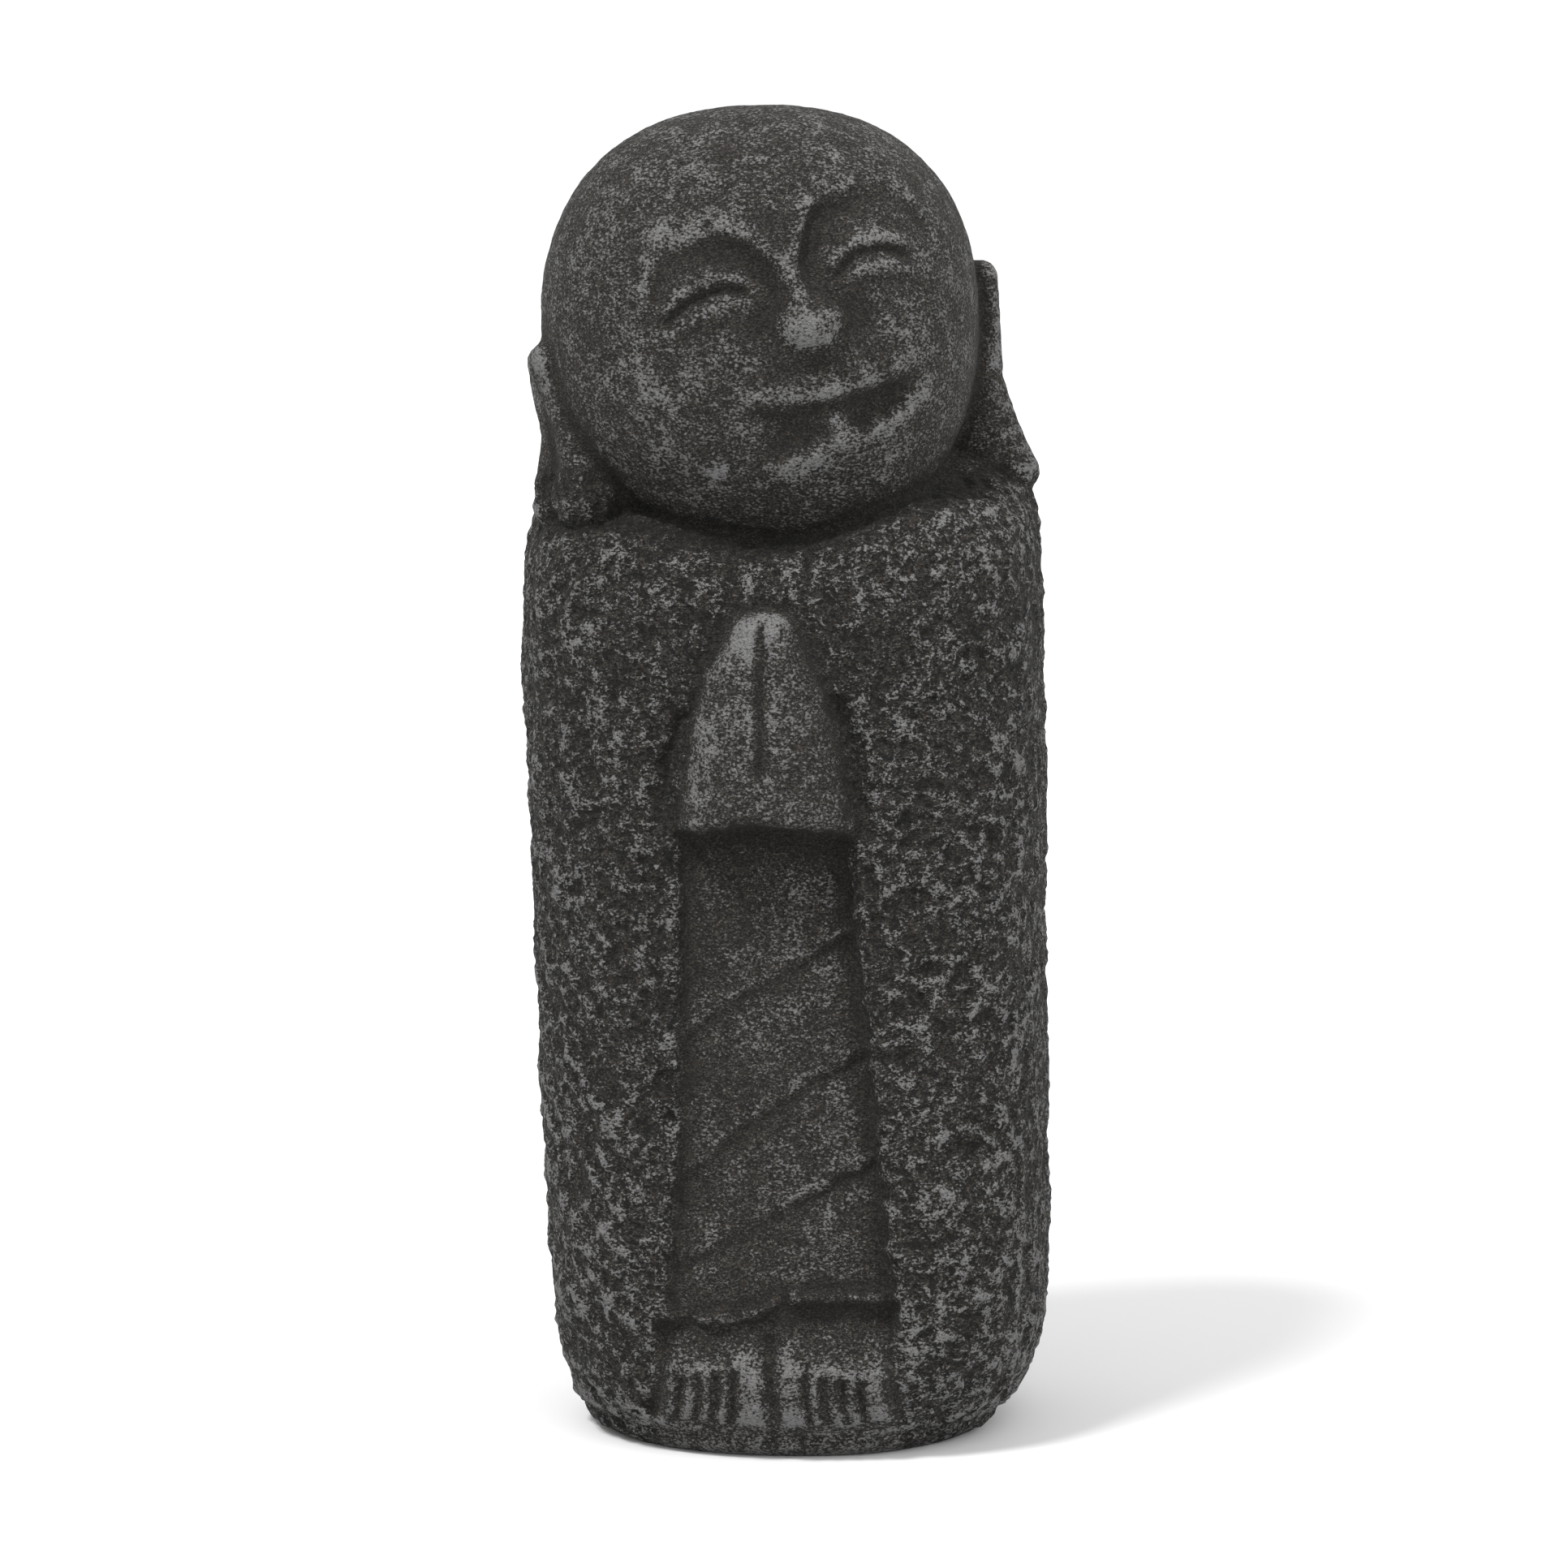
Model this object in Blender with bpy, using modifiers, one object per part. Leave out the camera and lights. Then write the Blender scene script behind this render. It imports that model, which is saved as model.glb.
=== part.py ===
"""Stone jizo: a garden figure half a metre tall, cast in one piece of dark lava cement.

A monk stands inside a robe that is a single rounded block.  The ball of a head leans to one side
and turns a little, with long-lobed ears that rest on the shoulders.  The praying hands stand out
from the chest, and below them the robe opens on a sunk panel of slanting folds, a hem and two
bare feet.  The rough forms are fused into one solid, the sunk parts are cut out of it, and the
face, folds and toes are then carved into its skin.

The figure faces -Y, +Z is up, and the origin is on the ground under the middle of the block.
"""
import bmesh
import bpy
import numpy as np
from mathutils import Matrix, Vector

# ---- Driving sizes ---------------------------------------------------------------------------

HEIGHT = 0.500                  # ground to the top of the head, in metres
UNIT = HEIGHT / 500             # the carver's unit: every number below counts these

GRAIN = 2.2                     # size of the cells in which the rough forms are fused
TRIANGLES = 9400                # faces left in the finished solid

# The robe: one block, a rounded rectangle in plan, rounded off at the shoulders and at the foot.
BLOCK_WIDTH = 194.0
BLOCK_DEPTH = 165.0
BLOCK_MIDDLE = 186.0            # height at which its sides are straightest
BLOCK_TOP = 374.0
BLOCK_BOTTOM = -4.0             # below the ground, where the base is sawn flat
SHOULDER_SHARPNESS = 9.5        # exponents of the side outline, above and below the middle
FOOT_SHARPNESS = 7.0
PLAN_SHARPNESS = 3.0            # exponent of the plan outline
FOOT_PLAN_SHARPNESS = 2.15      # the plan is nearly an ellipse on the ground
TAPER_START = 302.0             # below this height the block draws in by the taper ...
TAPER = 6.5
LEAN = 8.3                      # ... and leans over to the figure's left, but less at the foot
FOOT_LEAN = 0.25
CHEST_DROP = 25.0               # the chest is this much lower than the shoulders behind it,
CHIN_HOLLOW = 11.0              # still lower under the chin
CHEST_RISE = 8.0                # and higher towards the figure's left

# The head: a ball a little flattened, tilted about the line of sight and turned.
HEAD_CENTRE = (-6.4, -12.0, 420.3)
HEAD_HALF = (82.3, 79.0, 80.2)
HEAD_NARROWER = 2.4             # by how much its far side is flatter
HEAD_SHARPNESS = 2.3
HEAD_TILT = 13.0                # degrees, towards the figure's right shoulder
HEAD_TURN = 18.0                # degrees, towards the figure's left

# The praying hands, the panel under them and the feet, in width across the front.
HANDS_MIDDLE = 1.2
HANDS_TOP = 320.0
CUFF_BOTTOM = 239.0
CUFF_HALF_WIDTH = 33.0
PANEL_FACE = -75.0              # how far forward the sunk panel lies
PANEL_SLANT = 0.030             # and how much deeper it lies for each step to the figure's left
PANEL_TOP = (-30.5, 31.5)       # its two edges under the cuffs ...
PANEL_FOOT = (-37.0, 48.5)      # ... and at the hem
PANEL_SPREAD = 125.0            # height below which its right edge spreads
HEM = (55.0, 64.0)              # height of the hem at those two edges ...
HEM_STEP = 15.0                 # ... and how far from the middle the step between them reaches
FEET_MIDDLE = 2.8
FEET_EDGES = (-39.0, 49.0)
TOES = 5
BIG_TOE = 11.0                  # breadth of the inner toes ...
TOE_PITCH = 6.8                 # ... and of the others
BASE_BAND = 8.5                 # height of the crease round the base

STONE = (0.052, 0.050, 0.048, 1.0)


# ---- Small helpers ---------------------------------------------------------------------------

def smooth(low, high, value):
    """0 below low, 1 above high, and an even slope between."""
    part = np.clip((value - low) / (high - low), 0.0, 1.0)
    return part * part * (3.0 - 2.0 * part)


def turn(tilt, yaw):
    """Rotation of the head: yaw about its own upright axis, then the tilt in the front plane."""
    return Matrix.Rotation(np.radians(-tilt), 3, 'Y') @ Matrix.Rotation(np.radians(yaw), 3, 'Z')


def read_points(mesh):
    """The mesh's points in carver's units, one row for each."""
    flat = np.empty(len(mesh.vertices) * 3, dtype=np.float32)
    mesh.vertices.foreach_get('co', flat)
    return flat.reshape(-1, 3).astype(float) / UNIT


def write_points(mesh, points):
    mesh.vertices.foreach_set('co', (points * UNIT).astype(np.float32).ravel())
    mesh.update()


def ball_mesh(name, around, upright, shape):
    """A sphere primitive whose unit directions are moved by shape(directions)."""
    mesh = bpy.data.meshes.new(name)
    ball = bmesh.new()
    bmesh.ops.create_uvsphere(ball, u_segments=around, v_segments=upright, radius=UNIT)
    ball.to_mesh(mesh)
    ball.free()
    write_points(mesh, shape(read_points(mesh)))
    return mesh


def blob(name, centre, half, rotation=None, around=28, upright=18):
    """An ellipsoid with the given half sizes."""
    spin = np.array(rotation) if rotation else np.eye(3)
    return ball_mesh(name, around, upright, lambda rays: rays * half @ spin.T + centre)


def string_of_blobs(name, keys, count, place=None):
    """Ellipsoids strung closely along a route.

    Each key is a centre and a half size; the blobs between the keys take what lies between.
    place moves a centre into the figure's frame, and gives the rotation that goes with it.
    """
    centres, halves = (np.array(column, dtype=float) for column in zip(*keys))
    meshes = []
    for step in np.linspace(0, len(keys) - 1, count):
        centre = [np.interp(step, range(len(keys)), column) for column in centres.T]
        half = [np.interp(step, range(len(keys)), column) for column in halves.T]
        spin = None
        if place:
            centre, spin = place(centre)
        meshes.append(blob(name, centre, half, spin))
    return meshes


# ---- The rough forms -------------------------------------------------------------------------

def block_shape(rays):
    """Directions to points on the robe's block."""
    level = np.hypot(rays[:, 0], rays[:, 1])
    sharp = np.where(rays[:, 2] > 0, SHOULDER_SHARPNESS, FOOT_SHARPNESS)
    reach = (level ** sharp + abs(rays[:, 2]) ** sharp) ** (-1 / sharp)
    out, rise = level * reach, rays[:, 2] * reach
    z = BLOCK_MIDDLE + np.where(rise > 0, rise * (BLOCK_TOP - BLOCK_MIDDLE),
                                rise * (BLOCK_MIDDLE - BLOCK_BOTTOM))
    plan = FOOT_PLAN_SHARPNESS + (PLAN_SHARPNESS - FOOT_PLAN_SHARPNESS) * smooth(0, 75, z)
    angle = np.arctan2(rays[:, 1], rays[:, 0])
    side = (abs(np.cos(angle)) ** plan + abs(np.sin(angle)) ** plan) ** (-1 / plan)
    x = BLOCK_WIDTH / 2 * out * side * np.cos(angle)
    y = BLOCK_DEPTH / 2 * out * side * np.sin(angle)
    low = np.clip((TAPER_START - z) / TAPER_START, 0, 1) ** 0.9
    lean = LEAN * (FOOT_LEAN + (1 - FOOT_LEAN) * smooth(-4, 40, z))
    x = x * (1 - low * TAPER / BLOCK_WIDTH) + low * lean
    drop = CHEST_DROP + CHIN_HOLLOW * np.exp(-(x / 38) ** 2) - CHEST_RISE * smooth(5, 65, x)
    drop = drop * (0.8 * smooth(6, -40, y) + 0.2 * smooth(-40, -80, y))
    z = z - drop * np.clip((z - BLOCK_MIDDLE) / (BLOCK_TOP - BLOCK_MIDDLE), 0, 1) ** 2
    return np.column_stack((x, y, z))


def head_place(spot):
    """A spot in the head's own frame (right, back, up), and the head's rotation."""
    spin = turn(HEAD_TILT, HEAD_TURN)
    return Vector(HEAD_CENTRE) + spin @ Vector(spot), spin


def head_shape(rays):
    power = HEAD_SHARPNESS
    reach = (abs(rays) ** power).sum(axis=1) ** (-1 / power)
    spots = rays * reach[:, None] * HEAD_HALF
    spots[:, 0] -= HEAD_NARROWER * np.clip(spots[:, 0] / HEAD_HALF[0], 0, 1) ** 2
    return spots + HEAD_CENTRE


def nose():
    """A narrow bridge that swells to a round tip."""
    keys = [((-4, -70, 28), (4, 6, 6)), ((-3, -75, 12), (5.5, 7, 8)), ((0.8, -77.5, -3.5), (12.5, 10, 10.2))]
    wing = [((0, -76, -3), (10, 7.5, 8)), ((-5.5, -75.5, -7.5), (6.5, 7, 5.5))]
    return string_of_blobs('nose', keys, 9, head_place) + string_of_blobs('nose', wing, 3, head_place)


def neck():
    """What fills the chin's shadow, so that the head sits close on the shoulders."""
    return [blob('neck', (-8, -15, 348), (76, 38, 22))]


def ears():
    """Slabs on both sides of the head, each with a rolled rim in front that ends in a heavy lobe."""
    right = [((-85, 0, 3), (5.5, 10, 7)), ((-85, 1, -10), (6, 11, 11)), ((-85, 2, -26), (6, 12, 12)),
             ((-88, 4, -40), (8, 11, 11)), ((-91, 5, -50), (9.5, 11, 10))]
    right_rim = [((-85.5, -7, 4), (4.5, 8, 6.5)), ((-84.5, -9, -9), (4.5, 9, 10)),
                 ((-83.5, -12, -23), (5, 9, 10)), ((-82.5, -14, -36), (7.5, 10, 10)),
                 ((-83.5, -14, -48), (12, 12, 10.5))]
    right_root = [((-79, -1, 2), (8, 10, 12)), ((-77, -5, -13), (8, 11, 12)), ((-75, -4, -28), (8, 12, 12)),
                  ((-70, -2, -46), (10, 14, 14))]
    left = [((86.0, 4, -3), (6, 13, 7.5)), ((82, 4, -20), (6.5, 15, 12)), ((74.5, 4, -40), (10.5, 16, 14)),
            ((71.5, 1, -58), (15, 16, 12)), ((73.5, -3, -75.5), (16, 18, 9.5))]
    left_root = [((80, 8, -4), (9, 11, 9)), ((76, 8, -22), (9, 12, 14)), ((68, 7, -44), (12, 12, 16))]
    strings = ((right, 13), (right_rim, 17), (left, 13), (right_root, 10), (left_root, 7))
    return [part for keys, count in strings for part in string_of_blobs('ear', keys, count, head_place)]


def hands():
    """Two palms together, seen edge on, widening from the fingertips to the cuffs."""
    x = HANDS_MIDDLE
    keys = [((x, -82, HANDS_TOP - 9), (12, 12, 9)), ((x - 0.5, -80, 292), (22, 16, 14)),
            ((x, -80, 274), (27, 18, 16)), ((x + 0.5, -80, 252), (30, 19, 16)),
            ((x + 1, -80, CUFF_BOTTOM), (CUFF_HALF_WIDTH, 19, 16))]
    return string_of_blobs('hands', keys, 17)


# ---- Cutting and fusing ----------------------------------------------------------------------

def add(mesh, collection):
    piece = bpy.data.objects.new(mesh.name, mesh)
    collection.objects.link(piece)
    return piece


def apply_modifiers(piece):
    """Keep the piece as its modifiers leave it."""
    shown = piece.evaluated_get(bpy.context.evaluated_depsgraph_get())
    result = bpy.data.meshes.new_from_object(shown)
    piece.modifiers.clear()
    piece.data = result


def fuse(name, meshes, collection):
    """One skin round all the meshes."""
    heap = bmesh.new()
    for mesh in meshes:
        heap.from_mesh(mesh)
        bpy.data.meshes.remove(mesh)
    whole = bpy.data.meshes.new(name)
    heap.to_mesh(whole)
    heap.free()
    piece = add(whole, collection)
    remesh(piece)
    return piece


def remesh(piece):
    cells = piece.modifiers.new('fuse', 'REMESH')
    cells.mode = 'VOXEL'
    cells.voxel_size = GRAIN * UNIT
    apply_modifiers(piece)


def prism(name, outline, front, back):
    """A cutter: an outline of (x, z) corners, drawn from front to back."""
    solid = bmesh.new()
    corners = [solid.verts.new(Vector((x, front, z)) * UNIT) for x, z in outline]
    face = solid.faces.new(corners)
    drawn = bmesh.ops.extrude_face_region(solid, geom=[face])
    moved = [item for item in drawn['geom'] if isinstance(item, bmesh.types.BMVert)]
    bmesh.ops.translate(solid, verts=moved, vec=Vector((0, back - front, 0)) * UNIT)
    bmesh.ops.recalc_face_normals(solid, faces=solid.faces)
    mesh = bpy.data.meshes.new(name)
    solid.to_mesh(mesh)
    solid.free()
    return mesh


def hem_line(x):
    """Height of the hem, with its step near the middle."""
    return HEM[0] + (HEM[1] - HEM[0]) * smooth(-HEM_STEP, HEM_STEP, x)


def panel_cutter():
    """The sunk panel between the cuffs and the hem, a little deeper on the figure's left."""
    hem = [(x, hem_line(x)) for x in (PANEL_FOOT[1], HEM_STEP, 0, -HEM_STEP, PANEL_FOOT[0])]
    outline = [(PANEL_TOP[0], CUFF_BOTTOM), (PANEL_TOP[1], CUFF_BOTTOM)] + hem + [(PANEL_TOP[0], PANEL_SPREAD)]
    mesh = prism('panel_cutter', outline, PANEL_FACE - 60, PANEL_FACE)
    points = read_points(mesh)
    points[:, 1] += PANEL_SLANT * points[:, 0]
    write_points(mesh, points)
    return mesh


def cut(piece, cutter_mesh, collection):
    cutter = add(cutter_mesh, collection)
    cutter.hide_render = True
    cutter.display_type = 'WIRE'
    boolean = piece.modifiers.new('cut', 'BOOLEAN')
    boolean.operation = 'DIFFERENCE'
    boolean.solver = 'EXACT'
    boolean.object = cutter
    apply_modifiers(piece)


# ---- Carving ---------------------------------------------------------------------------------

def arc(start, end, rise, power=2.0):
    """Height, at any place across, of a line bowed up between two spots; a negative rise hangs."""
    middle, half = (start[0] + end[0]) / 2, (end[0] - start[0]) / 2

    def height(across):
        part = np.clip((across - middle) / half, -1, 1)
        chord = (start[1] + end[1]) / 2 + (end[1] - start[1]) / 2 * part
        return chord + rise * (1 - abs(part) ** power)
    height.middle, height.half = middle, half
    return height


def ridge(across, up, line, width, height):
    """A rounded ridge, or a groove where height is negative, along an arc."""
    beyond = np.clip(abs(across - line.middle) - line.half, 0, None)
    return height * np.exp(-((up - line(across)) / width) ** 2 - (beyond / width) ** 2)


def dent(across, up, middle, size, depth):
    """A round hollow or swelling."""
    return depth * np.exp(-((across - middle[0]) / size[0]) ** 2 - ((up - middle[1]) / size[1]) ** 2)


def groove(across, up, start, end, width, depth, bow=0.0):
    """A straight or bowed groove between two spots."""
    start, end = np.array(start, dtype=float), np.array(end, dtype=float)
    length = np.hypot(*(end - start))
    ahead = (end - start) / length
    along = (across - start[0]) * ahead[0] + (up - start[1]) * ahead[1]
    off = -(across - start[0]) * ahead[1] + (up - start[1]) * ahead[0]
    off = off - bow * (1 - (2 * np.clip(along / length, 0, 1) - 1) ** 2)
    beyond = np.clip(-along, 0, None) + np.clip(along - length, 0, None)
    return -depth * np.exp(-(off / width) ** 2 - (beyond / width) ** 2)


BROWS = (arc((-53, 17), (-6, 14), 19, 3), arc((0, 15), (56, 16), 24, 3.5))
EYES = (arc((-47, 8.5), (-21, 13.5), 3.5, 2.5), arc((14, 11.5), (40, 13), 5, 2.5))
MOUTH_LINE = arc((-28, -28), (36, -28), -4)
LOWER_LIP = arc((-40, -49), (38, -38), -8, 3)


def socket_relief(u, v, brow, inner, outer, depth):
    """The hollow under a brow: deepest right under its edge, and wider beside the nose."""
    nearer = smooth(outer, inner, u)
    below = brow(u) - v
    reach = 6 + 7 * nearer
    hollow = smooth(-3, 4.5, below) * np.exp(-(np.clip(below - 4, 0, None) / reach) ** 1.5)
    inside = smooth(brow.half + 1.5, brow.half - 4, abs(u - brow.middle))
    return ridge(u, v - 6, brow, 6, 1.0) - depth * inside * hollow * (0.3 + 0.7 * nearer)


def eye_relief(u, v, eye, slit):
    """A smiling eye: a lid, the slit under it, and the cheek pushed up below."""
    return ridge(u, v - 4.6, eye, 3.4, 2.0) + ridge(u, v, eye, 1.9, -slit) + ridge(u, v + 5.5, eye, 3.5, 1.2)


def mouth_relief(u, v):
    """An open smile, cut in under the upper lip and rising to the lower one, with a lump in it."""
    below, above = MOUTH_LINE(u) - v, v - LOWER_LIP(u)
    opening = smooth(-2, 3, below) * smooth(0, 13, above) * smooth(-30, -14, u) * smooth(37, 24, u)
    relief = -opening * (2.5 + 1.6 * smooth(0, 18, u)) + ridge(u, v + 1.5, MOUTH_LINE, 2.2, -1.2)
    relief += ridge(u, v - 4, MOUTH_LINE, 4, 0.9) + ridge(u, v, LOWER_LIP, 4.5, 1.1)
    return relief + dent(u, v, (5.5, -42.5), (4.5, 6), 2.8) + dent(u, v, (-9, -45), (10, 3.5), 0.9)


def face_relief(u, v):
    """How far the face stands out of the ball, across (u) and up (v) from the head's middle."""
    relief = socket_relief(u, v, BROWS[0], -14, -45, 3.6) + eye_relief(u, v, EYES[0], 2.3)
    relief += socket_relief(u, v, BROWS[1], 8, 44, 4.4) + eye_relief(u, v, EYES[1], 1.9)
    relief += dent(u, v, (-17, 1), (7, 9), -1.3) + dent(u, v, (19, -3), (7, 10), -1.3)
    relief += dent(u, v, (-3, -18), (14, 3.5), -1.2) + mouth_relief(u, v)
    relief += dent(u, v, (-45, -18), (20, 18), 1.2) + dent(u, v, (42, -14), (16, 14), 1.2)
    return relief + dent(u, v, (-5, -63), (26, 5), -0.9)


def carve_face(points):
    spin = np.array(turn(HEAD_TILT, HEAD_TURN))
    local = (points - HEAD_CENTRE) @ spin
    on_head = smooth(1.35, 1.2, np.sqrt(((local / HEAD_HALF) ** 2).sum(axis=1)))
    facing = on_head * smooth(-12, -30, local[:, 1])
    local[:, 1] -= facing * face_relief(local[:, 0], local[:, 2])
    return local @ spin.T + HEAD_CENTRE


FOLDS = (arc((-30, 159), (36, 201), 2.5), arc((-32, 105), (40, 157), 3.5), arc((-37, 72), (44, 117), -0.5))


def sleeve_relief(x, z):
    """The line between the palms, and the hollows where the sleeves fall away beside them."""
    relief = groove(x, z, (HANDS_MIDDLE, 313), (HANDS_MIDDLE, 262), 2.3, 2.6)
    relief += groove(x, z, (-29, 279), (-37, 250), 3.0, 3.0, -1)
    relief += groove(x, z, (27, 288), (36, 248), 4.0, 5.0, 2)
    return relief


def panel_relief(x, z):
    """Cloth in slanting folds, each lying over the next one down, with a gutter beside them."""
    relief = np.zeros_like(x)
    for fold in FOLDS:
        below = fold(x) - z
        nearer = 0.6 + 0.4 * smooth(0, 35, abs(x - fold.middle + 6))
        relief -= 2.0 * nearer * smooth(-2.5, 2.0, below) * np.exp(-np.clip(below, 0, None) / 15)
        relief += ridge(x, z - 2.2, fold, 2.6, 0.5) + ridge(x, z + 1, fold, 1.6, -0.4 * nearer)
    relief += groove(x, z, (PANEL_TOP[1] - 4, 225), (PANEL_FOOT[1] - 4, HEM[1]), 4.5, 1.0)
    return relief


def feet_relief(x, z):
    """Bare feet below the hem: sunk insteps that swell forward to the toes."""
    inside = smooth(FEET_EDGES[0] - 4, FEET_EDGES[0] + 3, x)
    inside *= smooth(FEET_EDGES[1] + 4, FEET_EDGES[1] - 2, x)
    under_hem = smooth(1, -4, z - hem_line(x))
    relief = inside * under_hem * (-8.0 + 9.0 * smooth(53, 36, z)) * smooth(10, 18, z)
    relief += groove(x, z, (FEET_MIDDLE, 46), (FEET_MIDDLE + 1, 18), 3.4, 3.6)
    for side, edge in zip((-1, 1), FEET_EDGES):
        relief += groove(x, z, (edge - side * 2, 50), (edge + side * 2, 16), 3.2, 3.2, -side)
        for toe in range(TOES - 1):
            gap = FEET_MIDDLE + side * (2.5 + BIG_TOE + TOE_PITCH * toe)
            relief += groove(x, z, (gap, 33 - toe), (gap + side * 1.5, 19), 1.5, 2.4, -side * 0.8)
    relief += groove(x, z, (-35, 14), (47, 14), 3.0, 2.0, -2)
    return relief


def carve_front(points):
    x, y, z = points.T
    facing = smooth(-45, -60, y)
    across = smooth(PANEL_FOOT[0] - 8, PANEL_FOOT[0] - 3, x)
    across *= smooth(PANEL_FOOT[1] + 8, PANEL_FOOT[1] + 3, x)
    on_panel = across * smooth(-79, -74, y) * smooth(CUFF_BOTTOM, CUFF_BOTTOM - 8, z)
    on_panel *= smooth(-1, 4, z - hem_line(x))
    low = smooth(HEM[1] + 2, HEM[1], z)
    relief = sleeve_relief(x, z) + on_panel * panel_relief(x, z) + low * feet_relief(x, z)
    points[:, 1] -= facing * relief
    return points


def carve_base(points):
    """The crease that parts the low band round the base from the robe above it."""
    x, y, z = points.T
    middle = LEAN * FOOT_LEAN
    depth = 2.2 * np.exp(-((z - BASE_BAND) / 2.2) ** 2)
    reach = np.hypot(x - middle, y) + 1e-6
    points[:, 0] -= depth * (x - middle) / reach
    points[:, 1] -= depth * y / reach
    return points


def carve(piece):
    points = read_points(piece.data)
    write_points(piece.data, carve_base(carve_front(carve_face(points))))


# ---- Finishing -------------------------------------------------------------------------------

def thin(piece):
    """Keep faces where the form bends, and few where it is plain."""
    piece.data.calc_loop_triangles()
    fewer = piece.modifiers.new('thin', 'DECIMATE')
    fewer.ratio = TRIANGLES / len(piece.data.loop_triangles)
    apply_modifiers(piece)


def ground_cutter():
    reach = BLOCK_WIDTH
    outline = [(-reach, -60), (reach, -60), (reach, 0), (-reach, 0)]
    return prism('ground_cutter', outline, -reach, reach)


def stone_material():
    stone = bpy.data.materials.new('lava_stone')
    stone.use_nodes = True
    shader = stone.node_tree.nodes['Principled BSDF']
    shader.inputs['Base Color'].default_value = STONE
    shader.inputs['Roughness'].default_value = 0.93
    shader.inputs['Metallic'].default_value = 0.0
    stone.diffuse_color = STONE
    return stone


def new_collection(name):
    collection = bpy.data.collections.new(name)
    bpy.context.scene.collection.children.link(collection)
    return collection


def main():
    for old in list(bpy.data.objects):
        bpy.data.objects.remove(old, do_unlink=True)
    figure = new_collection('stone_jizo')
    cutters = new_collection('cutters')

    block = ball_mesh('block', 96, 96, block_shape)
    head = ball_mesh('head', 64, 48, head_shape)
    statue = fuse('jizo_statue', [block, head] + neck() + nose() + ears() + hands(), figure)
    cut(statue, panel_cutter(), cutters)
    remesh(statue)
    carve(statue)
    thin(statue)
    cut(statue, ground_cutter(), cutters)

    statue.name = 'jizo_statue'
    statue.data.materials.clear()
    statue.data.materials.append(stone_material())
    statue.data.shade_smooth()
    statue.data.set_sharp_from_angle(angle=np.radians(50))


main()
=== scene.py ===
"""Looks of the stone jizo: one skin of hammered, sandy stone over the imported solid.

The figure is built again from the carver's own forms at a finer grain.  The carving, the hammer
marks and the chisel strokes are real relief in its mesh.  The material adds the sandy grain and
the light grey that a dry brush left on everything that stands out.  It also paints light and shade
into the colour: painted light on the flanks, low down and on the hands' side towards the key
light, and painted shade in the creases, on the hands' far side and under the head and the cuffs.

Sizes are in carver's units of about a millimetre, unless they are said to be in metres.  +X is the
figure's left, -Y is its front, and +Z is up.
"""

import bmesh
import bpy
import numpy as np
from mathutils import Matrix, Vector, noise


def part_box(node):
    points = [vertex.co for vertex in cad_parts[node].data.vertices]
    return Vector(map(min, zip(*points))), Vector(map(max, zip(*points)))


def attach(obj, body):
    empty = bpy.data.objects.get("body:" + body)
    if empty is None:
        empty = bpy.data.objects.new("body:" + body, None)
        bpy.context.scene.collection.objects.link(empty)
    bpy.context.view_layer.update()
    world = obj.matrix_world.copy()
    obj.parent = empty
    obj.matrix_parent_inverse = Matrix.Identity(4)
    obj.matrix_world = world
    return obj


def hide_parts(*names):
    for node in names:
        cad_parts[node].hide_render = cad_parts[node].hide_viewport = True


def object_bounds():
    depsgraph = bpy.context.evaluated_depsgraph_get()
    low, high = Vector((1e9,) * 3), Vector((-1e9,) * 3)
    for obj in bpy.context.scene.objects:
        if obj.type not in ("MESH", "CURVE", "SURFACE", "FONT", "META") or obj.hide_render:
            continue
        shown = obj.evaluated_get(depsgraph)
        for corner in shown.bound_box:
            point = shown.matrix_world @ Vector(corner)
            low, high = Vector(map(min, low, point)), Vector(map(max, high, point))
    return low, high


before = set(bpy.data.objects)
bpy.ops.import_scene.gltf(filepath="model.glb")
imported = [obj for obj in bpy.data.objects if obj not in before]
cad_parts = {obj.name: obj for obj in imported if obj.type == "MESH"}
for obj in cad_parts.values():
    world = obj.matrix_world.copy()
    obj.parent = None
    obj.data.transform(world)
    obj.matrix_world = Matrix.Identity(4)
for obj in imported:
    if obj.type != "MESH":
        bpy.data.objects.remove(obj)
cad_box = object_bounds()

# ---- Driving sizes -----------------------------------------------------------------------------

NODE = "jizo_statue"
CARVED_HEIGHT = 500.5           # of the figure, in carver's units
UNIT = (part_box(NODE)[1].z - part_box(NODE)[0].z) / CARVED_HEIGHT

GRAIN = 1.25                    # size of the cells in which the forms are fused
TRIANGLES = 192000              # faces left in the finished skin

BLOCK_WIDTH = 194.0
BLOCK_DEPTH = 165.0
BLOCK_MIDDLE = 186.0            # height at which the robe's sides are straightest
BLOCK_TOP = 374.0
BLOCK_BOTTOM = -4.0
SHOULDER_SHARPNESS = 9.5        # powers of the block's curves: 2 is round, and more is squarer
FOOT_SHARPNESS = 7.0
PLAN_SHARPNESS = 3.0
FOOT_PLAN_SHARPNESS = 2.15
SQUARE_FROM = 75.0              # height above which its plan is as square as it gets
TAPER_START = 302.0             # height below which the block narrows and leans
TAPER = 6.5                     # how much narrower it is at its foot
LEAN = 8.3                      # how far its lower part lies towards the figure's left
FOOT_LEAN = 0.25                # share of that lean which is left right at the foot
CHEST_DROP = 25.0               # how far the block's top falls towards the front
CHIN_HOLLOW = 11.0              # how much further it falls under the chin
CHIN_HOLLOW_WIDTH = 38.0        # how far that hollow reaches to each side
CHEST_RISE = 8.0                # how much less it falls at the figure's left

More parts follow.
